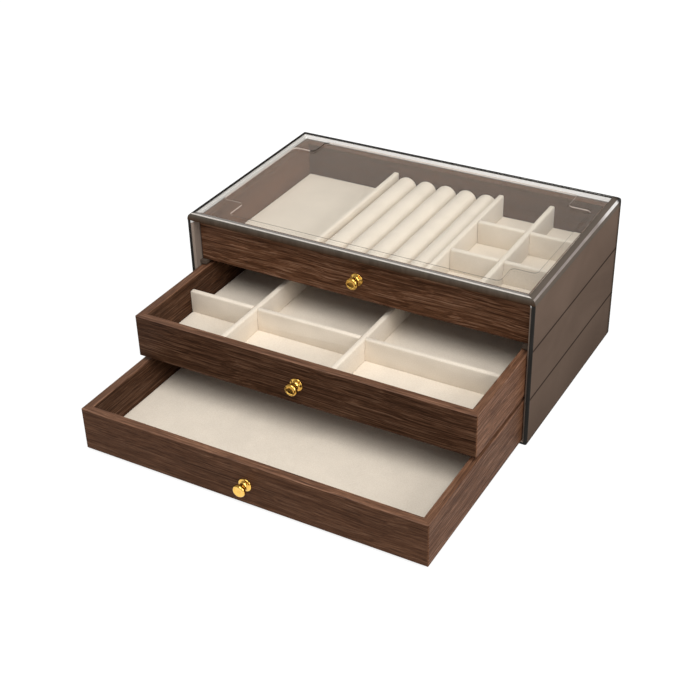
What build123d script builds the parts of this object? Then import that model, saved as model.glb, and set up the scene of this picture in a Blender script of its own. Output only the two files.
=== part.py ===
"""Jewellery box: an acrylic case with a clear cover and three velvet-lined walnut drawers.

Millimetres. X runs across the box, Y from the open front to the back, Z up. The origin is the
middle of the case's underside. The top drawer is shut, the middle one is half out and the bottom
one is pulled out almost all the way.
"""
import os
from collections import namedtuple

from build123d import *

os.makedirs("parts", exist_ok=True)

# Case
case_width = 303.0
case_depth = 185.0
case_wall = 4.5
case_back_wall = 3.0
case_base = 2.0
case_corner_radius = 4.0
case_inner_radius = 1.0
case_edge_radius = 0.6
case_bottom_radius = 2.0
case_lead_in = 1.5

# Runner strips bonded to the side walls, thicker at the wall than at the tip
rail_width = 6.0
rail_tip = 2.5
rail_root = 3.5
rail_setback = 6.0

# Cover: a cap with rounded shoulders on the walls and a lip across the front
cover_plate = 3.0
cover_skirt = 4.0
cover_wall = 3.0
cover_edge_radius = 6.5
cover_inner_radius = 3.0
cover_front_chamfer = 0.8
field_side_margin = 13.0
field_front_margin = 11.5
field_back_margin = 15.5
field_depth = 0.8
field_corner_radius = 4.0
corner_pad_width = 20.0
corner_pad_depth = 22.0

# Drawers
drawer_height = 36.7
drawer_headroom = 2.0
drawer_side_clearance = 0.5
drawer_back_clearance = 1.5
running_clearance = 0.3
front_recess = 9.0
middle_drawer_out = 85.5
bottom_drawer_kept = 11.0

# Mitred drawer boards, the bottom panel in its groove and the floor pad on it
board = 7.0
board_edge_radius = 0.8
drawer_corner_radius = 1.2
groove_height = 2.0
groove_depth = 2.5
groove_play = 0.1
bottom_panel = 3.0
pad_thickness = 3.0
pad_clearance = 0.3
pad_edge_radius = 1.0

# Velvet-covered dividers with half-lap crossings
divider = 4.5
divider_height = 20.0
divider_crown = 1.8
divider_end_clearance = 0.3
lap_clearance = 0.15

# Middle drawer layout, from its centre line and from the outside of its front
middle_left_divider_x = -77.0
middle_right_divider_x = 20.75
middle_cross_divider_y = 66.25

# Ring rolls of the top drawer
roll_count = 5
roll_pitch = 19.1
roll_gap = 0.2
roll_end_gap = 0.4
roll_end_taper = 4.0
roll_end_drop = 2.0
roll_seat = 0.6

# Grid of the top drawer, right of the ring rolls
grid_rows = 3

# Knob, turned from one bar, and its screw. The places along it are from the drawer's front.
knob_height = 17.5
knob_base_diameter = 10.8
knob_base_rim = 0.9
knob_neck_diameter = 5.0
knob_neck_start = 3.2
knob_neck_end = 5.0
knob_head_diameter = 10.1
knob_head_start = 6.2
knob_head_end = 8.7
knob_projection = 9.6
knob_face_diameter = 8.4
screw_diameter = 3.0
screw_clearance = 0.05
screw_engagement = 4.6
screw_bore_spare = 0.4
screw_head_diameter = 6.0
screw_head_height = 2.0
screw_head_chamfer = 0.6
counterbore_diameter = 7.0
counterbore_depth = 2.4

# Worked out from the sizes above
drawer_pitch = drawer_height + drawer_headroom + rail_tip + running_clearance
drawer_width = case_width - 2 * (case_wall + drawer_side_clearance)
drawer_depth = case_depth - case_back_wall - front_recess - drawer_back_clearance
inner_width = drawer_width - 2 * board
inner_depth = drawer_depth - 2 * board
case_inner_width = case_width - 2 * case_wall
case_front_y = -case_depth / 2
case_back_inner_y = case_depth / 2 - case_back_wall
case_front_plane = Plane((0, case_front_y, 0), x_dir=(1, 0, 0), z_dir=(0, -1, 0))
top_drawer_z = case_base + running_clearance + 2 * drawer_pitch
wall_top_z = top_drawer_z + drawer_height + drawer_headroom
cover_height = cover_skirt + cover_plate
cover_top_z = wall_top_z + cover_height
pad_z = groove_height + bottom_panel
divider_z = pad_z + pad_thickness
roll_diameter = roll_pitch - roll_gap
ring_field_width = roll_count * roll_pitch
partition_x = (ring_field_width + divider) / 2

Drawer = namedtuple("Drawer", "name front_y z")
top_drawer = Drawer("top", case_front_y + front_recess, top_drawer_z)
middle_drawer = Drawer("middle", case_front_y - middle_drawer_out, top_drawer_z - drawer_pitch)
bottom_drawer = Drawer(
    "bottom", case_front_y - drawer_depth + bottom_drawer_kept, top_drawer_z - 2 * drawer_pitch
)


def save(piece, node):
    """Name a finished piece and write it to its own file."""
    piece.part.label = node
    export_step(piece.part, f"parts/{node}.step")


def build_case():
    """Open-fronted case: base, two side walls and back wall in one moulding."""
    with BuildPart() as case:
        with BuildSketch() as footprint:
            Rectangle(case_width, case_depth)
            fillet(footprint.vertices().group_by(Axis.Y)[-1], case_corner_radius)
            fillet(footprint.vertices().group_by(Axis.Y)[0], case_edge_radius)
        extrude(amount=wall_top_z)
        with BuildSketch(case_front_plane) as front_outline:
            Rectangle(case_width, wall_top_z, align=(Align.CENTER, Align.MIN))
            fillet(front_outline.vertices().group_by(Axis.Y)[0], case_bottom_radius)
        extrude(amount=-case_depth, mode=Mode.INTERSECT)
        with BuildSketch(Plane.XY.offset(case_base)) as hollow:
            with Locations((0, case_back_inner_y)):
                Rectangle(case_inner_width, case_depth, align=(Align.CENTER, Align.MAX))
            fillet(hollow.vertices().group_by(Axis.Y)[-1], case_inner_radius)
        extrude(until=Until.LAST, mode=Mode.SUBTRACT)
        upright_edges = case.edges().filter_by(Axis.Z)
        inner_edges = upright_edges.filter_by_position(Axis.X, -case_inner_width / 2, case_inner_width / 2)
        chamfer(inner_edges.group_by(Axis.Y)[0], case_lead_in)
    save(case, "case_body")


def build_rails():
    """Runner strips on both side walls, under the top drawer and under the middle one."""
    end_plane = Plane((0, case_front_y + rail_setback, 0), x_dir=(-1, 0, 0), z_dir=(0, 1, 0))
    length = case_back_inner_y - case_inner_radius - end_plane.origin.Y
    wall_x = case_inner_width / 2
    tip_x = wall_x - rail_width
    for drawer in (top_drawer, middle_drawer):
        ledge_z = drawer.z - running_clearance
        for side, direction in (("left", 1), ("right", -1)):
            with BuildPart() as rail:
                with BuildSketch(end_plane):
                    with BuildLine():
                        Polyline(
                            (direction * wall_x, ledge_z),
                            (direction * tip_x, ledge_z),
                            (direction * tip_x, ledge_z - rail_tip),
                            (direction * wall_x, ledge_z - rail_root),
                            close=True,
                        )
                    make_face()
                extrude(amount=length)
            save(rail, f"{drawer.name}_{side}_rail")


def build_cover():
    """Clear cap bonded on the walls, with a recessed field between four corner pads."""
    field_width = case_width - 2 * field_side_margin
    field_depth_y = case_depth - field_front_margin - field_back_margin
    field_plane = Plane((0, (field_front_margin - field_back_margin) / 2, cover_top_z))
    with BuildPart() as hollow:
        with BuildSketch(Plane.XY.offset(wall_top_z)):
            Rectangle(case_width - 2 * cover_wall, case_depth - 2 * cover_wall)
        extrude(amount=cover_skirt)
        fillet(hollow.faces().sort_by(Axis.Z)[-1].edges(), cover_inner_radius)
    with BuildPart() as cover:
        with BuildSketch(Plane.XY.offset(wall_top_z)) as outline:
            Rectangle(case_width, case_depth)
            fillet(outline.vertices().group_by(Axis.Y)[-1], case_corner_radius)
        extrude(amount=cover_height)
        with BuildSketch(case_front_plane) as front_outline:
            with Locations((0, wall_top_z)):
                Rectangle(case_width, cover_height, align=(Align.CENTER, Align.MIN))
            fillet(front_outline.vertices().group_by(Axis.Y)[-1], cover_edge_radius)
        extrude(amount=-case_depth, mode=Mode.INTERSECT)
        with BuildSketch(Plane.YZ) as side_outline:
            with Locations((0, wall_top_z)):
                Rectangle(case_depth, cover_height, align=(Align.CENTER, Align.MIN))
            fillet(side_outline.vertices().group_by(Axis.Y)[-1].sort_by(Axis.X)[-1], cover_edge_radius)
            chamfer(side_outline.vertices().group_by(Axis.Y)[-1].sort_by(Axis.X)[0], cover_front_chamfer)
        extrude(amount=case_width / 2, both=True, mode=Mode.INTERSECT)
        add(hollow.part, mode=Mode.SUBTRACT)
        with BuildSketch(field_plane) as field:
            Rectangle(field_width, field_depth_y)
            with GridLocations(field_width - corner_pad_width, field_depth_y - corner_pad_depth, 2, 2):
                Rectangle(corner_pad_width, corner_pad_depth, mode=Mode.SUBTRACT)
            fillet(field.vertices(), field_corner_radius)
        extrude(amount=-field_depth, mode=Mode.SUBTRACT)
    save(cover, "top_cover")


def build_board(drawer, node, plane, length, has_knob=False):
    """Mitred drawer board: the plane's x runs along it and its y points into the drawer."""
    drawer_middle = Plane((0, drawer.front_y + drawer_depth / 2, drawer.z))
    inner_face = Plane((0, drawer.front_y + board, drawer.z + knob_height), z_dir=(0, 1, 0))
    with BuildPart() as panel:
        with BuildSketch(plane):
            with BuildLine():
                Polyline(
                    (-length / 2, 0),
                    (length / 2, 0),
                    (length / 2 - board, board),
                    (-length / 2 + board, board),
                    close=True,
                )
            make_face()
        extrude(amount=drawer_height)
        long_edges = panel.edges().filter_by(Axis((0, 0, 0), plane.x_dir)).group_by(Axis.Z)
        outer_bottom_edge = long_edges[0].sort_by(SortBy.LENGTH)[-1]
        fillet([*long_edges[-1], outer_bottom_edge], board_edge_radius)
        with BuildSketch(drawer_middle) as outline:
            Rectangle(drawer_width, drawer_depth)
            fillet(outline.vertices(), drawer_corner_radius)
        extrude(amount=drawer_height, mode=Mode.INTERSECT)
        with BuildSketch(plane.offset(groove_height)):
            with Locations((0, board)):
                Rectangle(length, groove_depth, align=(Align.CENTER, Align.MAX))
        extrude(amount=bottom_panel + groove_play, mode=Mode.SUBTRACT)
        if has_knob:
            with Locations(inner_face):
                CounterBoreHole(
                    screw_diameter / 2 + screw_clearance,
                    counterbore_diameter / 2,
                    counterbore_depth,
                )
    save(panel, node)


def build_boards(drawer):
    """The four mitred boards of a drawer."""
    back_y = drawer.front_y + drawer_depth
    middle_y = drawer.front_y + drawer_depth / 2
    side_x = drawer_width / 2
    front = Plane((0, drawer.front_y, drawer.z), x_dir=(1, 0, 0), z_dir=(0, 0, 1))
    back = Plane((0, back_y, drawer.z), x_dir=(-1, 0, 0), z_dir=(0, 0, 1))
    left = Plane((-side_x, middle_y, drawer.z), x_dir=(0, -1, 0), z_dir=(0, 0, 1))
    right = Plane((side_x, middle_y, drawer.z), x_dir=(0, 1, 0), z_dir=(0, 0, 1))
    build_board(drawer, f"{drawer.name}_drawer_front", front, drawer_width, has_knob=True)
    build_board(drawer, f"{drawer.name}_drawer_back", back, drawer_width)
    build_board(drawer, f"{drawer.name}_drawer_left_side", left, drawer_depth)
    build_board(drawer, f"{drawer.name}_drawer_right_side", right, drawer_depth)


def build_bottom_panel(drawer):
    """Flat panel that slides in the grooves of the four boards."""
    reach = 2 * (groove_depth - groove_play)
    middle_y = drawer.front_y + drawer_depth / 2
    with BuildPart() as panel:
        with BuildSketch(Plane((0, middle_y, drawer.z + groove_height))):
            Rectangle(inner_width + reach, inner_depth + reach)
        extrude(amount=bottom_panel)
    save(panel, f"{drawer.name}_drawer_bottom")


def build_floor_pad(drawer):
    """Velvet-covered pad on the bottom panel, with its upper edges rolled over."""
    middle_y = drawer.front_y + drawer_depth / 2
    with BuildPart() as pad:
        with BuildSketch(Plane((0, middle_y, drawer.z + pad_z))):
            Rectangle(inner_width - 2 * pad_clearance, inner_depth - 2 * pad_clearance)
        extrude(amount=pad_thickness)
        fillet(pad.edges().group_by(Axis.Z)[-1], pad_edge_radius)
    save(pad, f"{drawer.name}_drawer_pad")


def build_knob(drawer):
    """Turned knob: flat base, slim neck and disc head, bored for its screw."""
    centre = (0, drawer.front_y, drawer.z + knob_height)
    with BuildPart() as knob:
        with BuildSketch(Plane(centre)):
            with BuildLine():
                Polyline(
                    (0, 0),
                    (knob_base_diameter / 2, 0),
                    (knob_base_diameter / 2, -knob_base_rim),
                    (knob_neck_diameter / 2, -knob_neck_start),
                    (knob_neck_diameter / 2, -knob_neck_end),
                    (knob_head_diameter / 2, -knob_head_start),
                    (knob_head_diameter / 2, -knob_head_end),
                    (knob_face_diameter / 2, -knob_projection),
                    (0, -knob_projection),
                    close=True,
                )
            make_face()
        revolve(axis=Axis(centre, (0, 1, 0)))
        with Locations(Plane(centre, z_dir=(0, 1, 0))):
            Hole(screw_diameter / 2 + screw_clearance, screw_engagement + screw_bore_spare)
    save(knob, f"{drawer.name}_drawer_knob")


def build_knob_screw(drawer):
    """Pan-head screw from the counterbore, through the front board, into the knob."""
    seat_y = drawer.front_y + board - counterbore_depth
    seat = Plane((0, seat_y, drawer.z + knob_height), z_dir=(0, 1, 0))
    with BuildPart() as screw:
        with BuildSketch(seat):
            Circle(screw_head_diameter / 2)
        extrude(amount=screw_head_height)
        chamfer(screw.edges().sort_by(Axis.Y)[-1], screw_head_chamfer)
        with BuildSketch(seat):
            Circle(screw_diameter / 2)
        extrude(amount=-(board - counterbore_depth + screw_engagement))
    save(screw, f"{drawer.name}_drawer_knob_screw")


def build_divider(node, plane, length, top_slots=(), bottom_slots=()):
    """Board on the floor pad with a rounded top; slots are places along the plane's x."""
    slot_width = divider + 2 * lap_clearance
    half_height = divider_height / 2
    with BuildPart() as wall:
        with BuildSketch(plane):
            Rectangle(length, divider)
        extrude(amount=divider_height)
        long_edges = wall.edges().filter_by(Axis((0, 0, 0), plane.x_dir))
        fillet(long_edges.group_by(Axis.Z)[-1], divider_crown)
        for slots, start in ((top_slots, half_height - lap_clearance), (bottom_slots, 0)):
            for place in slots:
                with BuildSketch(plane.offset(start)):
                    with Locations((place, 0)):
                        Rectangle(slot_width, divider)
                extrude(amount=half_height + lap_clearance, mode=Mode.SUBTRACT)
    save(wall, node)


def along_x(drawer, x, y):
    """Plane of a divider that runs across the drawer, centred at x, y on its floor pad."""
    return Plane((x, y, drawer.z + divider_z), x_dir=(1, 0, 0), z_dir=(0, 0, 1))


def along_y(drawer, x):
    """Plane of a divider that runs from front to back, at x on the floor pad."""
    middle_y = drawer.front_y + drawer_depth / 2
    return Plane((x, middle_y, drawer.z + divider_z), x_dir=(0, 1, 0), z_dir=(0, 0, 1))


def build_middle_dividers():
    """Two long dividers crossed by one, making six compartments."""
    drawer = middle_drawer
    cross_y = drawer.front_y + middle_cross_divider_y
    cross_from_middle = middle_cross_divider_y - drawer_depth / 2
    long_length = inner_depth - 2 * divider_end_clearance
    cross_length = inner_width - 2 * divider_end_clearance
    places = {"left": middle_left_divider_x, "right": middle_right_divider_x}
    for side, x in places.items():
        node = f"middle_drawer_{side}_divider"
        build_divider(node, along_y(drawer, x), long_length, bottom_slots=[cross_from_middle])
    build_divider(
        "middle_drawer_cross_divider", along_x(drawer, 0, cross_y), cross_length, top_slots=places.values()
    )


def build_top_dividers():
    """Partitions each side of the ring rolls, and the grid of small compartments on the right."""
    drawer = top_drawer
    long_length = inner_depth - 2 * divider_end_clearance
    build_divider("top_drawer_left_partition", along_y(drawer, -partition_x), long_length)
    build_divider("top_drawer_right_partition", along_y(drawer, partition_x), long_length)
    grid_left = partition_x + divider / 2
    grid_right = inner_width / 2
    grid_x = (grid_left + grid_right) / 2
    row = inner_depth / grid_rows
    crossings = [row * step - inner_depth / 2 for step in range(1, grid_rows)]
    build_divider("top_drawer_grid_divider", along_y(drawer, grid_x), long_length, bottom_slots=crossings)
    middle_y = drawer.front_y + drawer_depth / 2
    cross_length = grid_right - grid_left - 2 * divider_end_clearance
    for number, crossing in enumerate(crossings, start=1):
        plane = along_x(drawer, grid_x, middle_y + crossing)
        build_divider(f"top_drawer_cross_divider_{number}", plane, cross_length, top_slots=[0])


def build_ring_rolls():
    """Soft rolls side by side between the partitions, flattened where they are glued down."""
    drawer = top_drawer
    seat_z = drawer.z + divider_z
    start_y = drawer.front_y + board + roll_end_gap
    length = inner_depth - 2 * roll_end_gap
    for number in range(roll_count):
        x = (number - (roll_count - 1) / 2) * roll_pitch
        end_plane = Plane((x, start_y, seat_z + roll_diameter / 2 - roll_seat), z_dir=(0, 1, 0))
        with BuildPart() as roll:
            with BuildSketch(end_plane):
                Circle(roll_diameter / 2)
            extrude(amount=length)
            for end in roll.faces().filter_by(Axis.Y):
                chamfer(end.edges(), roll_end_drop, roll_end_taper, reference=end)
            split(bisect_by=Plane.XY.offset(seat_z), keep=Keep.TOP)
        save(roll, f"top_drawer_ring_roll_{number + 1}")


build_case()
build_rails()
build_cover()
for drawer in (top_drawer, middle_drawer, bottom_drawer):
    build_boards(drawer)
    build_bottom_panel(drawer)
    build_floor_pad(drawer)
    build_knob(drawer)
    build_knob_screw(drawer)
build_top_dividers()
build_ring_rolls()
build_middle_dividers()
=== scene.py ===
import math

import bpy
from mathutils import Matrix, Vector


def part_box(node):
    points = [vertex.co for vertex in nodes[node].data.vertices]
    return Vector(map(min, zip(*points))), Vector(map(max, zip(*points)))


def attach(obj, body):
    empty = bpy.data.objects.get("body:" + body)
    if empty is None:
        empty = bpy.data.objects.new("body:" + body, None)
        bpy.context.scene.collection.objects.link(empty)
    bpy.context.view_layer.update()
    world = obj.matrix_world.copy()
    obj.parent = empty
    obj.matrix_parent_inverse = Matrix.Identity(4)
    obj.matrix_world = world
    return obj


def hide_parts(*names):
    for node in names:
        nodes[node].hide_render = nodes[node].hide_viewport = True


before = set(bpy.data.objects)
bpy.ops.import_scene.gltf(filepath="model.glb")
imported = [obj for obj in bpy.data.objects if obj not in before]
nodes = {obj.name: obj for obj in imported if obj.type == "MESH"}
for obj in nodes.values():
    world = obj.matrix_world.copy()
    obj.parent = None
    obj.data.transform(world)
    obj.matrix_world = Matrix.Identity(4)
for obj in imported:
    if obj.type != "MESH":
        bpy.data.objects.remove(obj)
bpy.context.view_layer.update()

drawer_names = ("top", "middle", "bottom")
case_low, case_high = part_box("case_body")
cover_low, cover_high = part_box("top_cover")

# Lengths are in metres. Places closer together than near count as one.
near = 0.0001

# A face is square to an axis when its normal has at least this share along it
square = 0.999


# Modelling

def deselect_all():
    bpy.ops.object.select_all(action="DESELECT")


def make_active(piece):
    """Select one piece alone."""
    deselect_all()
    piece.select_set(True)
    bpy.context.view_layer.objects.active = piece


def settle(name):
    """Name the piece just added and move its place into its mesh."""
    piece = bpy.context.object
    piece.name = name
    bpy.ops.object.transform_apply(location=True, rotation=True, scale=True)
    return piece


def add_block(name, low, high):
    """A block between two corners."""
    deselect_all()
    bpy.ops.mesh.primitive_cube_add(size=1, location=(low + high) / 2, scale=high - low)
    return settle(name)


def repeat(model, places):
    """A piece modelled at the first of some nodes and copied to the others, each copy with its own mesh."""
    first = model(places[0])
    ending = first.name.removeprefix(places[0])
    pieces = {places[0]: first}
    for node in places[1:]:
        make_active(first)
        bpy.ops.object.duplicate()
        bpy.context.object.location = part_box(node)[0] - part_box(places[0])[0]
        pieces[node] = settle(node + ending)
    return pieces


def apply_modifier(piece, kind, **settings):
    """Add one modifier with its settings and apply it."""
    make_active(piece)
    modifier = piece.modifiers.new(kind.title(), kind)
    for setting, value in settings.items():
        setattr(modifier, setting, value)
    bpy.ops.object.modifier_apply(modifier=modifier.name)


def pick_edges(piece, wanted):
    """Enter edit mode with the edges selected whose two ends are wanted."""
    bpy.ops.object.mode_set(mode="EDIT")
    bpy.ops.mesh.select_mode(type="EDGE")
    bpy.ops.mesh.select_all(action="DESELECT")
    bpy.ops.object.mode_set(mode="OBJECT")
    points = piece.data.vertices
    for edge in piece.data.edges:
        start, end = (points[index].co for index in edge.vertices)
        edge.select = wanted(start, end)
    bpy.ops.object.mode_set(mode="EDIT")


def pick_faces(piece, wanted):
    """Enter edit mode with the faces selected that are wanted."""
    bpy.ops.object.mode_set(mode="EDIT")
    bpy.ops.mesh.select_mode(type="FACE")
    bpy.ops.mesh.select_all(action="DESELECT")
    bpy.ops.object.mode_set(mode="OBJECT")
    for face in piece.data.polygons:
        face.select = wanted(face)
    bpy.ops.object.mode_set(mode="EDIT")


def face_outwards(piece):
    """Turn every face of a closed piece outwards."""
    make_active(piece)
    bpy.ops.object.mode_set(mode="EDIT")
    bpy.ops.mesh.select_all(action="SELECT")
    bpy.ops.mesh.normals_make_consistent(inside=False)
    bpy.ops.object.mode_set(mode="OBJECT")


def round_edges(piece, width, segments, sharper_than):
    """Round the edges that turn by more than an angle in degrees."""
    apply_modifier(
        piece,
        "BEVEL",
        width=width,
        segments=segments,
        limit_method="ANGLE",
        angle_limit=math.radians(sharper_than),
    )


def smooth(piece, degrees):
    """Shade smooth across edges that turn by less than an angle."""
    make_active(piece)
    bpy.ops.object.shade_smooth_by_angle(angle=math.radians(degrees))


def fit(piece, node, body, material):
    """Put a finished piece in the place of its node."""
    piece.data.materials.clear()
    piece.data.materials.append(material)
    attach(piece, body)
    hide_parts(node)


# Soft unevenness of velvet and foam; the level is the grey of the clouds that stays in place
softness = bpy.data.textures.new("foam_softness", "CLOUDS")
softness.noise_scale = 0.03

pad_columns = 56
pad_rows = 32
pad_crown = 0.0005
pad_crown_level = 0.6
pad_crown_room = 0.0003
pad_edge_round = 0.0012


def model_pad(node):
    """Velvet pad on a drawer's floor: a soft crown and edges rolled over."""
    low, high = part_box(node)
    size = high - low
    deselect_all()
    bpy.ops.mesh.primitive_grid_add(
        x_subdivisions=pad_columns,
        y_subdivisions=pad_rows,
        size=1,
        location=((low.x + high.x) / 2, (low.y + high.y) / 2, high.z),
    )
    bpy.context.object.scale = (size.x, size.y, 1)
    pad = settle(f"{node}_velvet")
    crown = {"strength": pad_crown, "mid_level": pad_crown_level, "direction": "Z"}
    apply_modifier(pad, "DISPLACE", texture=softness, **crown)
    apply_modifier(pad, "SOLIDIFY", thickness=size.z - pad_crown_room, offset=-1)
    face_outwards(pad)
    round_edges(pad, pad_edge_round, segments=4, sharper_than=60)
    smooth(pad, 60)
    return pad


roll_sides = 72
roll_rings = 36
roll_end_round = 0.0038
roll_unevenness = 0.0004
roll_level = 0.7

# The tucks at a roll's ends, each going inwards and then along the roll
roll_tucks = ((0.0016, 0.0004), (0.0022, 0.0002))


def model_roll(node):
    """Ring roll before it is softened: a round bolster, tucked in at its ends."""
    low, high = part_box(node)
    radius = (high.x - low.x) / 2
    length = high.y - low.y
    deselect_all()
    bpy.ops.mesh.primitive_cylinder_add(
        vertices=roll_sides,
        radius=radius,
        depth=length,
        location=((low.x + high.x) / 2, (low.y + high.y) / 2, high.z - radius),
        rotation=(math.pi / 2, 0, 0),
    )
    roll = settle(f"{node}_velvet")
    pick_edges(roll, lambda a, b: abs(a.y - b.y) > length / 2)
    bpy.ops.mesh.subdivide(number_cuts=roll_rings)
    bpy.ops.object.mode_set(mode="OBJECT")
    pick_edges(roll, lambda a, b: min(a.y, b.y) > high.y - near or max(a.y, b.y) < low.y + near)
    bpy.ops.mesh.bevel(offset=roll_end_round, segments=7, profile=0.5)
    bpy.ops.object.mode_set(mode="OBJECT")
    pick_faces(roll, lambda face: abs(face.normal.y) > square)
    for inwards, along in roll_tucks:
        bpy.ops.mesh.inset(thickness=inwards, depth=-along)
    bpy.ops.object.mode_set(mode="OBJECT")
    return roll


def soften_roll(roll, floor_z):
    """Make a roll slightly uneven, and flat where it is glued down."""
    apply_modifier(roll, "DISPLACE", texture=softness, strength=roll_unevenness, mid_level=roll_level)
    pick_faces(roll, lambda face: True)
    bpy.ops.mesh.bisect(plane_co=(0, 0, floor_z), plane_no=(0, 0, 1), use_fill=True, clear_inner=True)
    bpy.ops.object.mode_set(mode="OBJECT")
    smooth(roll, 50)


divider_top_round = 0.0017
divider_edge_round = 0.0004
lap_play = 0.00015
lap_over = 0.002


def lap_slot(node, crossing, upper):
    """Corners of the slot that a crossing divider needs in the upper or lower half of this one."""
    low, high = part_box(node)
    cross_low, cross_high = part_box(crossing)
    middle_z = (low.z + high.z) / 2
    slot_low = Vector(
        (
            max(low.x - lap_over, cross_low.x - lap_play),
            max(low.y - lap_over, cross_low.y - lap_play),
            middle_z - lap_play if upper else low.z - lap_over,
        )
    )
    slot_high = Vector(
        (
            min(high.x + lap_over, cross_high.x + lap_play),
            min(high.y + lap_over, cross_high.y + lap_play),
            high.z + lap_over if upper else middle_z + lap_play,
        )
    )
    return slot_low, slot_high


def model_divider(node, slots=()):
    """Velvet-wrapped divider with a rounded top, cut for the ones that cross it."""
    low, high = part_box(node)
    divider = add_block(f"{node}_velvet", low, high)
    pick_edges(divider, lambda a, b: min(a.z, b.z) > high.z - near)
    bpy.ops.mesh.bevel(offset=divider_top_round, segments=6, profile=0.5)
    bpy.ops.object.mode_set(mode="OBJECT")
    for slot_low, slot_high in slots:
        cutter = add_block("slot_cutter", slot_low, slot_high)
        apply_modifier(divider, "BOOLEAN", object=cutter, operation="DIFFERENCE", solver="EXACT")
        bpy.data.objects.remove(cutter)
    round_edges(divider, divider_edge_round, segments=2, sharper_than=50)
    smooth(divider, 40)
    return divider


knob_sides = 64

# The knob's outline: distance out from the drawer's front, and radius, in millimetres
knob_outline = (
    (0.0, 5.25), (0.25, 5.4), (0.6, 5.4), (0.85, 5.2), (1.0, 4.75), (1.25, 4.0), (1.7, 3.3),
    (2.4, 2.75), (3.2, 2.5), (4.2, 2.45), (4.9, 2.6), (5.4, 3.1), (5.8, 3.85), (6.1, 4.5),
    (6.4, 4.85), (6.8, 5.02), (7.4, 5.05), (8.1, 5.03), (8.7, 4.9), (9.15, 4.62), (9.45, 4.25),
    (9.58, 3.85), (9.5, 3.5), (9.3, 3.2), (9.25, 2.0),
)


def model_knob(node):
    """Turned knob, drawn out from its base along its axis step by step."""
    low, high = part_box(node)
    x = (low.x + high.x) / 2
    z = (low.z + high.z) / 2
    outline = [(out / 1000, radius / 1000) for out, radius in knob_outline]
    out, radius = outline[0]
    deselect_all()
    bpy.ops.mesh.primitive_circle_add(
        vertices=knob_sides,
        radius=radius,
        fill_type="NGON",
        location=(x, high.y - out, z),
        rotation=(math.pi / 2, 0, 0),
    )
    knob = settle(f"{node}_turned")
    bpy.ops.object.mode_set(mode="EDIT")
    bpy.ops.mesh.select_all(action="SELECT")
    for next_out, next_radius in outline[1:]:
        bpy.ops.mesh.extrude_region_move(TRANSFORM_OT_translate={"value": (0, out - next_out, 0)})
        ratio = next_radius / radius
        out, radius = next_out, next_radius
        bpy.ops.transform.resize(value=(ratio, 1, ratio), center_override=(x, high.y - out, z))
    bpy.ops.object.mode_set(mode="OBJECT")
    face_outwards(knob)
    smooth(knob, 40)
    return knob


# Materials

# Most of a noise lies between these two values
noise_low = 0.3
noise_high = 0.7


def add_node(tree, kind, **settings):
    """A new node; settings are its properties, or its inputs where the name is an input's."""
    node = tree.nodes.new(kind)
    for name, value in settings.items():
        if hasattr(node, name):
            setattr(node, name, value)
        else:
            node.inputs[name.replace("_", " ")].default_value = value
    return node


def new_material(name):
    """An empty material, with its node tree and its output node."""
    material = bpy.data.materials.new(name)
    material.use_nodes = True
    tree = material.node_tree
    tree.nodes.clear()
    return material, tree, tree.nodes.new("ShaderNodeOutputMaterial")


def new_group(name, inputs, outputs):
    """An empty node group; inputs and outputs are pairs of name and socket type."""
    group = bpy.data.node_groups.new(name, "ShaderNodeTree")
    for socket, kind in inputs:
        group.interface.new_socket(socket, in_out="INPUT", socket_type=f"NodeSocket{kind}")
    for socket, kind in outputs:
        group.interface.new_socket(socket, in_out="OUTPUT", socket_type=f"NodeSocket{kind}")
    return group, group.nodes.new("NodeGroupInput"), group.nodes.new("NodeGroupOutput")


def stretched_noise(tree, vector, scale, detail, distortion=0.0):
    """Noise stretched by a scale along each axis, in features per metre."""
    mapping = add_node(tree, "ShaderNodeMapping", Scale=scale)
    noise = add_node(tree, "ShaderNodeTexNoise", Scale=1.0, Detail=detail, Roughness=0.6)
    noise.inputs["Distortion"].default_value = distortion
    tree.links.new(vector, mapping.inputs["Vector"])
    tree.links.new(mapping.outputs["Vector"], noise.inputs["Vector"])
    return noise.outputs["Fac"]


def remap(tree, value, low, high, to_low, to_high):
    """A value brought from one range to another."""
    node = add_node(tree, "ShaderNodeMapRange")
    for socket, number in zip(("From Min", "From Max", "To Min", "To Max"), (low, high, to_low, to_high)):
        node.inputs[socket].default_value = number
    tree.links.new(value, node.inputs["Value"])
    return node.outputs["Result"]


def noise_between(tree, noise, low, high):
    """A noise brought to a range of its own."""
    return remap(tree, noise, noise_low, noise_high, low, high)


def ramp(tree, value, *stops):
    """A colour ramp; stops are pairs of place and colour."""
    node = add_node(tree, "ShaderNodeValToRGB")
    elements = node.color_ramp.elements
    while len(elements) < len(stops):
        elements.new(0.5)
    for element, (place, colour) in zip(elements, stops):
        element.position = place
        element.color = (*colour, 1)
    tree.links.new(value, node.inputs["Fac"])
    return node.outputs["Color"]


def noise_tint(tree, noise, dark, light):
    """A colour that a noise changes from dark to light."""
    return ramp(tree, noise, (noise_low, dark), (noise_high, light))


def shade(tree, colour, factor):
    """A colour made lighter or darker by a factor that changes over the surface."""
    node = add_node(tree, "ShaderNodeVectorMath", operation="SCALE")
    tree.links.new(colour, node.inputs[0])
    tree.links.new(factor, node.inputs["Scale"])
    return node.outputs["Vector"]


def add_vectors(tree, first, second):
    """The sum of two places or two colours."""
    node = add_node(tree, "ShaderNodeVectorMath", operation="ADD")
    tree.links.new(first, node.inputs[0])
    tree.links.new(second, node.inputs[1])
    return node.outputs["Vector"]


def combine(tree, operation, first, second=0.0):
    """One sum of two values; some operations need only the first."""
    node = add_node(tree, "ShaderNodeMath", operation=operation)
    for socket, value in zip(node.inputs, (first, second)):
        if isinstance(value, (int, float)):
            socket.default_value = value
        else:
            tree.links.new(value, socket)
    return node.outputs["Value"]


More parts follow.
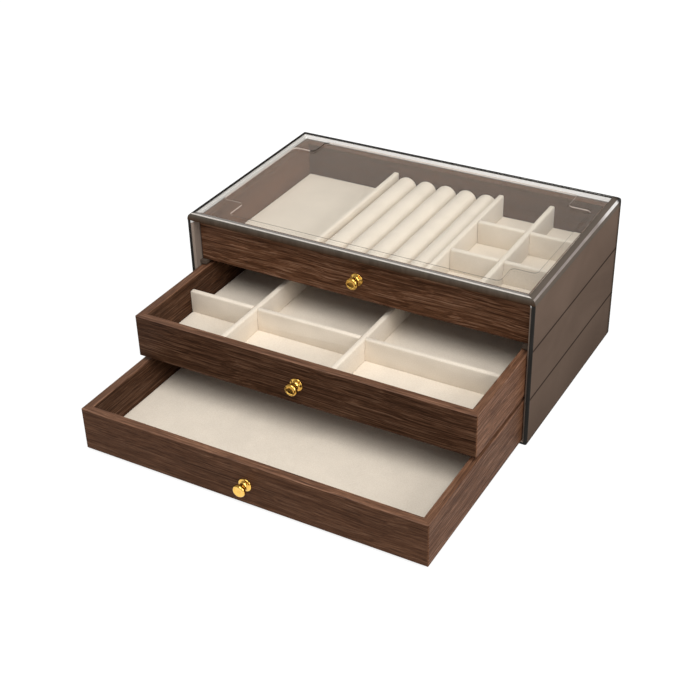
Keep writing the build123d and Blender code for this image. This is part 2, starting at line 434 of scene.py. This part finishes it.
def object_vector(tree, turn=0.0):
    """Object coordinates, turned about the upright axis."""
    place = add_node(tree, "ShaderNodeTexCoord")
    mapping = add_node(tree, "ShaderNodeMapping", Rotation=(0, 0, turn))
    tree.links.new(place.outputs["Object"], mapping.inputs["Vector"])
    return mapping.outputs["Vector"]


def split_place(tree, vector):
    """The X, Y and Z of a place."""
    node = add_node(tree, "ShaderNodeSeparateXYZ")
    tree.links.new(vector, node.inputs["Vector"])
    return node.outputs


def place_group(tree, group, vector):
    """A node group that reads its pattern from a place."""
    node = add_node(tree, "ShaderNodeGroup", node_tree=group)
    tree.links.new(vector, node.inputs["Vector"])
    return node


def bump(tree, height, distance, strength):
    """A normal that follows a height."""
    node = add_node(tree, "ShaderNodeBump", Distance=distance, Strength=strength)
    tree.links.new(height, node.inputs["Height"])
    return node.outputs["Normal"]


def principled(tree, output, **settings):
    """A Principled shader wired to the output; settings are its plain inputs."""
    node = add_node(tree, "ShaderNodeBsdfPrincipled")
    for name, value in settings.items():
        node.inputs[name.replace("_", " ")].default_value = value
    tree.links.new(node.outputs["BSDF"], output.inputs["Surface"])
    return node


# Walnut from its darkest streaks to its palest, as places on a ramp and colours
walnut_tones = (
    (0.34, (0.034, 0.0130, 0.0055)),
    (0.45, (0.066, 0.0275, 0.0130)),
    (0.55, (0.104, 0.0475, 0.0245)),
    (0.68, (0.175, 0.0930, 0.0560)),
)
grain_sway = 0.0015


def make_walnut_group():
    """Walnut with its grain along X: swaying streaks, broad bands and pores."""
    group, start, end = new_group(
        "walnut_grain",
        [("Vector", "Vector"), ("Tone", "Float"), ("Contrast", "Float")],
        [("Color", "Color"), ("Roughness", "Float"), ("Height", "Float")],
    )
    waves = stretched_noise(group, start.outputs["Vector"], (12, 30, 30), detail=2)
    sway = noise_between(group, waves, -grain_sway, grain_sway)
    offset = add_node(group, "ShaderNodeCombineXYZ")
    group.links.new(sway, offset.inputs["Y"])
    group.links.new(sway, offset.inputs["Z"])
    vector = add_vectors(group, start.outputs["Vector"], offset.outputs["Vector"])
    streaks = stretched_noise(group, vector, (17, 950, 950), detail=8, distortion=0.5)
    bands = stretched_noise(group, vector, (5, 75, 75), detail=3, distortion=0.4)
    pores = stretched_noise(group, vector, (110, 2000, 2000), detail=3)
    from_middle = combine(group, "SUBTRACT", streaks, 0.5)
    spread = combine(group, "MULTIPLY", from_middle, start.outputs["Contrast"])
    colour = ramp(group, combine(group, "ADD", spread, 0.5), *walnut_tones)
    colour = shade(group, colour, noise_between(group, bands, 0.86, 1.16))
    colour = shade(group, colour, remap(group, pores, 0.32, 0.62, 0.62, 1.22))
    colour = shade(group, colour, start.outputs["Tone"])
    group.links.new(colour, end.inputs["Color"])
    group.links.new(noise_between(group, streaks, 0.60, 0.46), end.inputs["Roughness"])
    height = combine(group, "ADD", streaks, combine(group, "MULTIPLY", pores, 0.6))
    group.links.new(height, end.inputs["Height"])
    return group


walnut_group = make_walnut_group()


def make_walnut(name, turn, tone, contrast=1.0, shine=0.05):
    """Satin walnut; turn brings the grain to the board's length, tone sets its lightness."""
    material, tree, output = new_material(name)
    shader = principled(tree, output, Specular_IOR_Level=shine)
    grain = place_group(tree, walnut_group, object_vector(tree, turn))
    grain.inputs["Tone"].default_value = tone
    grain.inputs["Contrast"].default_value = contrast
    tree.links.new(grain.outputs["Color"], shader.inputs["Base Color"])
    tree.links.new(grain.outputs["Roughness"], shader.inputs["Roughness"])
    normal = bump(tree, grain.outputs["Height"], distance=0.00012, strength=0.6)
    tree.links.new(normal, shader.inputs["Normal"])
    return material


def make_velvet():
    """Short cream velvet: a fine nap with soft lighter and darker patches."""
    material, tree, output = new_material("cream_velvet")
    shader = principled(tree, output, Roughness=0.95, Specular_IOR_Level=0.15)
    shader.inputs["Sheen Weight"].default_value = 0.25
    shader.inputs["Sheen Roughness"].default_value = 0.4
    vector = object_vector(tree)
    nap = stretched_noise(tree, vector, (1500, 1500, 1500), detail=3)
    patches = stretched_noise(tree, vector, (45, 45, 45), detail=2)
    colour = noise_tint(tree, nap, dark=(0.69, 0.60, 0.487), light=(0.79, 0.71, 0.603))
    colour = shade(tree, colour, noise_between(tree, patches, 0.96, 1.03))
    tree.links.new(colour, shader.inputs["Base Color"])
    tree.links.new(bump(tree, nap, distance=0.0003, strength=0.5), shader.inputs["Normal"])
    return material


def make_metal(name, colour, dark, roughness):
    """Turned metal with fine marks round its axis and a slight tarnish."""
    material, tree, output = new_material(name)
    shader = principled(tree, output, Metallic=1.0)
    vector = object_vector(tree)
    marks = stretched_noise(tree, vector, (300, 9000, 300), detail=2)
    tarnish = stretched_noise(tree, vector, (260, 260, 260), detail=3)
    tree.links.new(ramp(tree, tarnish, (0.3, dark), (0.55, colour)), shader.inputs["Base Color"])
    wear = noise_between(tree, marks, roughness * 0.7, roughness * 1.4)
    tree.links.new(wear, shader.inputs["Roughness"])
    tree.links.new(bump(tree, marks, distance=0.00001, strength=0.4), shader.inputs["Normal"])
    return material


def make_clear_acrylic():
    """Polished clear acrylic. Lamps and soft light pass straight through it."""
    material, tree, output = new_material("clear_acrylic")
    shader = principled(tree, output, Transmission_Weight=1.0, IOR=1.49)
    shader.inputs["Base Color"].default_value = (0.98, 0.98, 0.975, 1)
    vector = object_vector(tree)
    haze = stretched_noise(tree, vector, (35, 35, 35), detail=3)
    waves = stretched_noise(tree, vector, (14, 14, 14), detail=1)
    tree.links.new(remap(tree, haze, 0.35, 0.75, 0.0, 0.05), shader.inputs["Roughness"])
    tree.links.new(bump(tree, waves, distance=0.00008, strength=0.3), shader.inputs["Normal"])
    through = add_node(tree, "ShaderNodeBsdfTransparent", Color=(0.985, 0.985, 0.98, 1))
    path = add_node(tree, "ShaderNodeLightPath")
    passing = combine(tree, "MAXIMUM", path.outputs["Is Shadow Ray"], path.outputs["Is Diffuse Ray"])
    mix = add_node(tree, "ShaderNodeMixShader")
    tree.links.new(passing, mix.inputs["Fac"])
    tree.links.new(shader.outputs["BSDF"], mix.inputs[1])
    tree.links.new(through.outputs["BSDF"], mix.inputs[2])
    tree.links.new(mix.outputs["Shader"], output.inputs["Surface"])
    return material


# Painted shade on the outer walls: dark lines at the runner strips' heights for the shaded gaps seen
# through the sheet, and a darker foot
strip_line_heights = (
    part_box("middle_left_rail")[1].z - 0.0012,
    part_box("top_left_rail")[1].z + 0.0002,
)
strip_line_half = 0.0005
strip_line_fade = 0.0014
strip_line_shade = 0.30
foot_height = 0.11
foot_shade = 0.64

# Where the painted shade at the back corners starts and is full, in from the outside
corner_start = 0.010
corner_full = 0.004

# Painted light on the walls' upper edge, with a painted glow at the back: where it starts and is full, down
# from the top, and in from the back
lit_edge_start = 0.0023
lit_edge_full = 0.0017
lit_back_start = 0.006
lit_back_full = 0.004
lit_edge_colour = (0.80, 0.79, 0.77)
lit_edge_glow = 0.6


def paint_strip_shade(tree, colour, height):
    """Painted shade: darker lines along the runner strips, on a wall painted darker towards its foot."""
    for line_height in strip_line_heights:
        distance = combine(tree, "ABSOLUTE", combine(tree, "SUBTRACT", height, line_height))
        line = remap(tree, distance, strip_line_half, strip_line_fade, strip_line_shade, 1.0)
        colour = shade(tree, colour, line)
    return shade(tree, colour, remap(tree, height, 0.0, foot_height, foot_shade, 1.0))


def darken_back_corners(tree, colour, place, share):
    """Painted shade, by a share, at the two upright back corners."""
    back, side = case_high.y, case_high.x
    near_back = remap(tree, place["Y"], back - corner_start, back - corner_full, 0.0, share)
    sideways = combine(tree, "ABSOLUTE", place["X"])
    near_side = remap(tree, sideways, side - corner_start, side - corner_full, 0.0, 1.0)
    loss = combine(tree, "MULTIPLY", near_back, near_side)
    return shade(tree, colour, combine(tree, "SUBTRACT", 1.0, loss))


def light_upper_edge(tree, shader, colour, place):
    """A painted pale band along the upper edge, with a painted glow at the back, for the light the sheet
    leads out.
    """
    top, back = case_high.z, case_high.y
    near_top = remap(tree, place["Z"], top - lit_edge_start, top - lit_edge_full, 0.0, 1.0)
    pale = ramp(tree, near_top, (0.0, (0, 0, 0)), (1.0, lit_edge_colour))
    at_back = remap(tree, place["Y"], back - lit_back_start, back - lit_back_full, 0.0, 1.0)
    tree.links.new(shade(tree, pale, at_back), shader.inputs["Emission Color"])
    shader.inputs["Emission Strength"].default_value = lit_edge_glow
    tint = shade(tree, colour, combine(tree, "SUBTRACT", 1.0, near_top))
    return add_vectors(tree, tint, pale)


def make_tinted_acrylic(name, dark, light, lined=False, lit_top=False, corner_shade=0.0):
    """Brown-grey acrylic, with painted shade along the strips' lines, painted light on a lit upper edge or
    painted shade at the back corners where asked.
    """
    material, tree, output = new_material(name)
    shader = principled(tree, output, Specular_IOR_Level=0.0)
    vector = object_vector(tree)
    place = split_place(tree, vector)
    clouds = stretched_noise(tree, vector, (9, 9, 14), detail=3, distortion=0.5)
    colour = noise_tint(tree, clouds, dark, light)
    if lined:
        colour = paint_strip_shade(tree, colour, place["Z"])
    if corner_shade:
        colour = darken_back_corners(tree, colour, place, corner_shade)
    if lit_top:
        colour = light_upper_edge(tree, shader, colour, place)
    tree.links.new(colour, shader.inputs["Base Color"])
    tree.links.new(noise_between(tree, clouds, 0.18, 0.3), shader.inputs["Roughness"])
    return material


def make_cut_edge(name, dark, light, shine=0.0, glow=0.0):
    """Sawn and flamed edge of a sheet of acrylic, in colours that paint the light and shade seen at the
    edges; glow is a painted glow for the light the sheet leads to its edge.
    """
    material, tree, output = new_material(name)
    shader = principled(tree, output, Roughness=0.35, Specular_IOR_Level=shine)
    saw_marks = stretched_noise(tree, object_vector(tree), (700, 700, 40), detail=3)
    colour = noise_tint(tree, saw_marks, dark, light)
    tree.links.new(colour, shader.inputs["Base Color"])
    if glow:
        tree.links.new(colour, shader.inputs["Emission Color"])
        shader.inputs["Emission Strength"].default_value = glow
    tree.links.new(bump(tree, saw_marks, distance=0.00004, strength=0.4), shader.inputs["Normal"])
    return material


def make_front_lip():
    """Front of the cap: smoky at the top and darker downwards, with a painted shadow of the drawer at its
    foot.
    """
    material, tree, output = new_material("smoke_acrylic_lip")
    shader = principled(tree, output, Roughness=0.35, Specular_IOR_Level=0.0)
    vector = object_vector(tree)
    place = split_place(tree, vector)
    rise = remap(tree, place["Z"], cover_low.z, cover_high.z, 0.0, 1.0)
    shadow = (0.045, 0.025, 0.014)
    brown = (0.075, 0.055, 0.041)
    smoke = (0.110, 0.098, 0.080)
    colour = ramp(tree, rise, (0.0, shadow), (0.45, brown), (0.9, smoke))
    saw_marks = stretched_noise(tree, vector, (220, 220, 40), detail=3)
    colour = shade(tree, colour, noise_between(tree, saw_marks, 0.8, 1.15))
    tree.links.new(colour, shader.inputs["Base Color"])
    return material


def make_shoulder_highlight():
    """Painted highlight along the cap's right shoulder: soft grey, then white, and painted shade at the
    back corner.
    """
    material, tree, output = new_material("shoulder_line")
    shader = principled(tree, output, Roughness=0.35, Specular_IOR_Level=0.1)
    vector = object_vector(tree)
    place = split_place(tree, vector)
    run = remap(tree, place["Y"], cover_low.y, cover_high.y, 0.0, 1.0)
    grey = (0.205, 0.174, 0.158)
    white = (0.60, 0.58, 0.56)
    black = (0.020, 0.019, 0.018)
    colour = ramp(tree, run, (0.0, grey), (0.70, grey), (0.90, white), (0.945, white), (0.965, black))
    saw_marks = stretched_noise(tree, vector, (220, 60, 220), detail=3)
    colour = shade(tree, colour, noise_between(tree, saw_marks, 0.85, 1.15))
    tree.links.new(colour, shader.inputs["Base Color"])
    return material


# Walnut boards, with the grain across the box or along its depth, in lit and shaded copies of one walnut
across = 0.0
lengthwise = math.pi / 2
# The fronts' tones: partly each drawer's own wood, partly painted light and shade; the top front is
# lightened against the cap lip's shade and the middle one darkened
walnut_fronts = {
    "top": make_walnut("walnut_top_front", across, tone=1.20, contrast=1.25),
    "middle": make_walnut("walnut_middle_front", across, tone=0.63),
    "bottom": make_walnut("walnut_bottom_front", across, tone=0.78, contrast=0.65),
}
# Painted shade: the darker left sides. Painted light: the lighter right sides, and the backs and bottom
# panels
walnut_left = make_walnut("walnut_left", lengthwise, tone=0.75)
walnut_right = make_walnut("walnut_right", lengthwise, tone=1.26, contrast=0.75)
walnut_bottom_right = make_walnut("walnut_bottom_right", lengthwise, tone=1.08, contrast=0.75)
walnut_back = make_walnut("walnut_back", across, tone=1.5)
# The top drawer's back and left side seen through the cap: flatter copies, the left side also paler,
# painted light for the cap's veil of reflection
walnut_covered_back = make_walnut("walnut_under_cover_across", across, tone=0.90, contrast=0.40)
walnut_covered_left = make_walnut("walnut_under_cover_lengthwise", lengthwise, tone=1.5, contrast=0.25)
# Rims: lighter walnut on the boards' upper edges, painted light where the top light falls; under the cap a
# milder, flatter painted light
lit_rim_look = {"tone": 1.58, "contrast": 0.8, "shine": 0.5}
lit_rim_across = make_walnut("walnut_rim_across", across, **lit_rim_look)
lit_rim_lengthwise = make_walnut("walnut_rim_lengthwise", lengthwise, **lit_rim_look)
covered_lit_rim_look = {"tone": 1.25, "contrast": 0.5}
covered_lit_rim_across = make_walnut("walnut_covered_rim_across", across, **covered_lit_rim_look)
covered_lit_rim_lengthwise = make_walnut("walnut_covered_rim_lengthwise", lengthwise, **covered_lit_rim_look)

velvet = make_velvet()
brass = make_metal("polished_brass", (0.95, 0.60, 0.15), dark=(0.80, 0.45, 0.09), roughness=0.16)
zinc = make_metal("zinc_steel", (0.62, 0.62, 0.60), dark=(0.45, 0.45, 0.44), roughness=0.3)

# Acrylic: the sheets
clear_acrylic = make_clear_acrylic()
outer_wall = make_tinted_acrylic(
    "smoke_acrylic", (0.100, 0.070, 0.0535), (0.129, 0.091, 0.0695), lined=True, corner_shade=0.7
)
# Paler inside: painted light for the light that comes through the tinted sheet
inner_wall = make_tinted_acrylic(
    "smoke_acrylic_inside", (0.21, 0.165, 0.135), (0.25, 0.200, 0.165), lit_top=True
)
# Darker runner strips: painted shade, as they sit in the shade inside the case
runner_strip = make_tinted_acrylic("smoke_acrylic_strip", (0.075, 0.055, 0.042), (0.095, 0.070, 0.054))
# Smoky shoulder of the clear cap: painted shade for the dark board and shaded gap seen through it, and more
# at the back corner
shoulder_smoke = make_tinted_acrylic(
    "smoke_acrylic_shoulder", (0.085, 0.069, 0.056), (0.109, 0.089, 0.073), corner_shade=0.9
)

# Acrylic: the edges, each from a darker to a lighter colour; their colours paint the light and shade seen
# at the edges
# Dark edges: partly the tint seen edge-on, partly painted shade for the dark lines that refraction shows
# along the clear cap's edges
dark_edge = make_cut_edge("dark_cut_edge", (0.018, 0.017, 0.015), (0.030, 0.028, 0.026))
# Pale edges: painted light for the light the sheets lead out and the white surroundings seen through them,
# with a painted glow, strongest at the back
bright_look = {"dark": (0.80, 0.79, 0.77), "light": (0.90, 0.89, 0.87), "shine": 0.15}
bright_edge = make_cut_edge("bright_cut_edge", **bright_look, glow=0.05)
bright_back_edge = make_cut_edge("bright_back_edge", **bright_look, glow=0.75)
# A painted highlight along the cap's front arris, and painted light and shade in a grey band inside the
# front rim
front_highlight = make_cut_edge("front_cut_edge", (0.46, 0.42, 0.385), (0.56, 0.52, 0.475), shine=0.15)
front_band = make_cut_edge("front_inner_edge", (0.21, 0.195, 0.18), (0.26, 0.240, 0.225))
# The recess's steps: a painted highlight, and a painted shadow
step_highlight = make_cut_edge("recess_step_edge", (0.66, 0.57, 0.51), (0.76, 0.66, 0.59), shine=0.15)
step_shadow = make_cut_edge("recess_step_shadow", (0.045, 0.037, 0.030), (0.075, 0.062, 0.050))
shoulder_line = make_shoulder_highlight()
front_lip = make_front_lip()


# Finishes of the solids

def finish_node(node, *materials, choose=None):
    """Give a node its materials; choose says for each face which of them it gets."""
    mesh = nodes[node].data
    mesh.materials.clear()
    for material in materials:
        mesh.materials.append(material)
    if choose:
        for face in mesh.polygons:
            face.material_index = materials.index(choose(face))


# Sizes of the solids that the finishes follow
slack = 0.00005
case_wall = 0.0045
case_back_wall = 0.003
case_base = 0.002
case_lead_in = 0.0015
recess_depth = 0.0008
cover_rim = 0.006
shoulder = 0.007
rim_depth = 0.0009

# The recess's steps: the back left notch lies beyond faint_notch, and those right of shaded_steps and
# in front of it get a painted shadow
faint_notch = Vector((-0.115, 0.055))
shaded_steps = Vector((-0.09, 0.045))

# Shares of a face's normal along an axis: over tilted the face leans that way, over facing it looks
# that way, and under upright, along Z, it stands upright
tilted = 0.02
upright = 0.1
facing = 0.3

# The same shares for the cap's arris, shoulder, line of light, skirt and dark lines
arris_lean = 0.6
shoulder_lean = 0.05
light_line_from = 0.66
light_line_to = 0.86
skirt_rise = 0.57
dark_line_rise = 0.5

# A face of the cap looks outwards where its normal times its place, in metres, is over this
outward_reach = 0.02


def case_face(face):
    """Tinted walls, paler inside and bright at the upper ends with painted light; dark front ends, back
    corners and lower edges, partly the tint seen edge-on and partly painted shade.
    """
    centre, normal = face.center, face.normal
    inner_x = case_high.x - case_wall
    inner_y = case_high.y - case_back_wall
    if centre.z > case_high.z - slack:
        right_wall = centre.x > inner_x and centre.y < inner_y
        return outer_wall if right_wall else bright_edge
    if centre.y < case_low.y + slack:
        return dark_edge
    between_sides = abs(centre.x) < inner_x + case_lead_in - slack
    if between_sides and centre.y < inner_y + slack and centre.z > case_base - slack:
        return inner_wall
    upright_corner = max(abs(normal.x), abs(normal.y)) < square and abs(normal.z) < upright
    lower_edge = tilted < -normal.z < 1 - tilted
    return dark_edge if upright_corner or lower_edge else outer_wall


def recess_step(centre):
    """Steps round the recess: clear at the back left notch, a painted shadow at the front right, else a
    painted highlight.
    """
    if centre.x < faint_notch.x and centre.y > faint_notch.y:
        return clear_acrylic
    shaded = centre.x > shaded_steps.x and centre.y < shaded_steps.y
    return step_shadow if shaded else step_highlight


def right_shoulder(normal):
    """The cap's right shoulder: painted shade at the back corner, a painted line of light half way round,
    else smoky.
    """
    if normal.y > shoulder_lean:
        return dark_edge
    return shoulder_line if light_line_from < normal.x < light_line_to else shoulder_smoke


def cover_rim_edge(centre, normal):
    """Edges that show through the cap inside its rim, painted dark or pale for the shade and light seen
    there, or nothing for a face that is none of them.
    """
    back_rim = centre.y > cover_high.y - cover_rim
    if back_rim and normal.z < -facing and normal.y < -tilted:
        return dark_edge
    if normal.z >= upright:
        return None
    if back_rim and normal.y < -facing:
        return bright_back_edge
    if centre.x < cover_low.x + cover_rim and normal.x > facing:
        return bright_edge
    if centre.y < cover_low.y + cover_rim and normal.y > facing:
        return front_band
    return None


def cover_foot(centre):
    """Underside of the cap: painted light over the back wall and the left wall, tinted elsewhere."""
    if centre.y > cover_high.y - cover_rim:
        return bright_back_edge
    return bright_edge if centre.x < cover_low.x + cover_rim else outer_wall


def cover_face(face):
    """Clear cap: smoky front lip with a painted shadow and a painted highlight line, painted light and
    shade on the steps round the recess, smoky shoulders, painted light on the inner edges, tinted skirt,
    and painted dark lines along the left and the back."""
    centre, normal = face.center, face.normal
    if centre.z < cover_low.z + slack:
        return cover_foot(centre)
    if centre.y < cover_low.y + slack:
        return front_lip
    if normal.y < -arris_lean and normal.z > arris_lean:
        return front_highlight
    if abs(normal.z) < upright and centre.z > cover_high.z - recess_depth:
        return recess_step(centre)
    if centre.x > cover_high.x - shoulder and normal.x > shoulder_lean and normal.z > -upright:
        return right_shoulder(normal)
    edge = cover_rim_edge(centre, normal)
    if edge:
        return edge
    outward = max(normal.x * centre.x, normal.y * centre.y) > outward_reach
    if outward and -upright < normal.z < skirt_rise:
        return outer_wall
    looks_out = normal.x < -tilted or normal.y > tilted
    return dark_edge if looks_out and normal.z > dark_line_rise else clear_acrylic


def board_face(face, top, wood, rim):
    """A board's own walnut, and a lighter walnut on its upper edge: painted light where the top light
    falls.
    """
    upper_edge = face.normal.z > facing and face.center.z > top - rim_depth
    return rim if upper_edge else wood


finish_node("case_body", outer_wall, inner_wall, dark_edge, bright_edge, choose=case_face)
finish_node(
    "top_cover",
    clear_acrylic,
    dark_edge,
    bright_edge,
    step_highlight,
    outer_wall,
    front_lip,
    front_highlight,
    step_shadow,
    shoulder_line,
    shoulder_smoke,
    bright_back_edge,
    front_band,
    choose=cover_face,
)
for level in ("top", "middle"):
    for side in ("left", "right"):
        finish_node(f"{level}_{side}_rail", runner_strip)


# Drawers

def finish_boards(drawer):
    """Walnut on a drawer's boards and bottom panel, and zinc on its knob's screw. The top drawer is seen
    through the cap and has flatter walnut, painted light for the cap's veil."""
    body = f"{drawer}_drawer"
    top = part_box(f"{body}_front")[1].z
    covered = drawer == "top"
    end_rim = covered_lit_rim_across if covered else lit_rim_across
    side_rim = covered_lit_rim_lengthwise if covered else lit_rim_lengthwise
    boards = {
        "front": (walnut_fronts[drawer], end_rim),
        "back": (walnut_covered_back if covered else walnut_back, end_rim),
        "left_side": (walnut_covered_left if covered else walnut_left, side_rim),
        "right_side": (walnut_bottom_right if drawer == "bottom" else walnut_right, side_rim),
    }
    for board, (wood, rim) in boards.items():
        finish_node(f"{body}_{board}", wood, rim, choose=lambda face: board_face(face, top, wood, rim))
    finish_node(f"{body}_bottom", walnut_back)
    finish_node(f"{body}_knob_screw", zinc)


knobs = repeat(model_knob, [f"{drawer}_drawer_knob" for drawer in drawer_names])
for drawer in drawer_names:
    body = f"{drawer}_drawer"
    finish_boards(drawer)
    pad = model_pad(f"{body}_pad")
    fit(pad, f"{body}_pad", body, velvet)
    fit(knobs[f"{body}_knob"], f"{body}_knob", body, brass)

rolls = repeat(model_roll, [f"top_drawer_ring_roll_{number}" for number in range(1, 6)])
for node, roll in rolls.items():
    soften_roll(roll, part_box(node)[0].z)
    fit(roll, node, "top_drawer", velvet)


def add_dividers(body, names, crossing=(), upper=False):
    """Equal dividers of a drawer, with slots in their upper or lower half for the ones that cross them."""

    def model(node):
        return model_divider(node, [lap_slot(node, f"{body}_{other}", upper) for other in crossing])

    for node, divider in repeat(model, [f"{body}_{name}" for name in names]).items():
        fit(divider, node, body, velvet)


crossings = {
    "top_drawer": (["grid_divider"], ["cross_divider_1", "cross_divider_2"]),
    "middle_drawer": (["left_divider", "right_divider"], ["cross_divider"]),
}
for body, (long_ones, cross_ones) in crossings.items():
    add_dividers(body, long_ones, crossing=cross_ones, upper=False)
    add_dividers(body, cross_ones, crossing=long_ones, upper=True)
add_dividers("top_drawer", ["left_partition", "right_partition"])


# Floor, light and camera

floor_size = 12
floor_glow = 1.12
floor_glow_share = 0.75
ambient_light = 0.45
mirrored_change = -0.12
warm_white = (1, 0.95, 0.86)

key_energy = 2.1
key_spread = 40
key_direction = (-0.40, 0.74, -1.5)
side_energy = 15
side_size = 0.9
side_place = (1.6, -0.5, 0.85)
side_direction = (-1.6, 0.4, -0.8)

# The camera that was solved from the photograph; angles in degrees, focal length and width in pixels
camera_azimuth = 29.873
camera_elevation = 32.876
camera_roll = -1.467
camera_distance = 1.1888
camera_target = Vector((-0.05745, 0.00317, -0.02942))
camera_sensor = 36
focal_length = 1324.8
photo_width = 700


def ray_masks(tree):
    """1 for what the camera sees straight or through acrylic, and 1 for what it sees mirrored."""
    path = add_node(tree, "ShaderNodeLightPath")
    seen = combine(tree, "MAXIMUM", path.outputs["Is Camera Ray"], path.outputs["Is Transmission Ray"])
    return seen, path.outputs["Is Glossy Ray"]


def make_floor():
    """Pale floor that shows white to the camera and keeps a soft shadow."""
    deselect_all()
    bpy.ops.mesh.primitive_plane_add(size=floor_size)
    floor = bpy.context.object
    floor.name = "floor"
    material, tree, output = new_material("pale_floor")
    paint = add_node(tree, "ShaderNodeBsdfDiffuse", Color=(0.9, 0.9, 0.9, 1))
    glow = add_node(tree, "ShaderNodeEmission", Strength=floor_glow)
    seen, mirrored = ray_masks(tree)
    share = combine(tree, "MULTIPLY", combine(tree, "MAXIMUM", seen, mirrored), floor_glow_share)
    mix = add_node(tree, "ShaderNodeMixShader")
    tree.links.new(share, mix.inputs["Fac"])
    tree.links.new(paint.outputs["BSDF"], mix.inputs[1])
    tree.links.new(glow.outputs["Emission"], mix.inputs[2])
    tree.links.new(mix.outputs["Shader"], output.inputs["Surface"])
    floor.data.materials.append(material)


def make_world():
    """White surroundings to the eye, warmer and darker where mirrored, and soft light on the object."""
    world = bpy.data.worlds.new("studio")
    bpy.context.scene.world = world
    world.use_nodes = True
    tree = world.node_tree
    sky = tree.nodes["Background"]
    seen, mirrored = ray_masks(tree)
    tree.links.new(ramp(tree, mirrored, (0, (1, 1, 1)), (1, warm_white)), sky.inputs["Color"])
    ambient = remap(tree, seen, 0, 1, ambient_light, 1.0)
    change = combine(tree, "MULTIPLY", mirrored, mirrored_change)
    tree.links.new(combine(tree, "ADD", ambient, change), sky.inputs["Strength"])


def add_lamp(name, kind, energy, direction):
    """A lamp that shines along a direction."""
    light = bpy.data.lights.new(name, kind)
    light.energy = energy
    lamp = bpy.data.objects.new(name, light)
    bpy.context.scene.collection.objects.link(lamp)
    lamp.rotation_euler = Vector(direction).to_track_quat("-Z", "Y").to_euler()
    return lamp


def add_lights():
    """Broad key light from above, in front and the right, and a soft light on the box's right side."""
    key = add_lamp("key_light", "SUN", key_energy, key_direction)
    key.data.angle = math.radians(key_spread)
    side = add_lamp("side_light", "AREA", side_energy, side_direction)
    side.data.size = side_size
    side.location = side_place


def make_camera():
    """Camera where the photograph was taken from."""
    azimuth = math.radians(camera_azimuth)
    elevation = math.radians(camera_elevation)
    roll = math.radians(camera_roll)
    back = Vector(
        (
            math.sin(azimuth) * math.cos(elevation),
            -math.cos(azimuth) * math.cos(elevation),
            math.sin(elevation),
        )
    )
    level = Vector((math.cos(azimuth), math.sin(azimuth), 0))
    upright_axis = back.cross(level)
    right = level * math.cos(roll) + upright_axis * math.sin(roll)
    up = upright_axis * math.cos(roll) - level * math.sin(roll)
    lens = bpy.data.cameras.new("camera")
    lens.sensor_width = camera_sensor
    lens.lens = camera_sensor * focal_length / photo_width
    camera = bpy.data.objects.new("camera", lens)
    bpy.context.scene.collection.objects.link(camera)
    turned = Matrix((right, up, back)).transposed().to_4x4()
    camera.matrix_world = Matrix.Translation(camera_target + back * camera_distance) @ turned
    bpy.context.scene.camera = camera


make_floor()
make_world()
add_lights()
make_camera()

bpy.context.scene.view_settings.view_transform = "Standard"
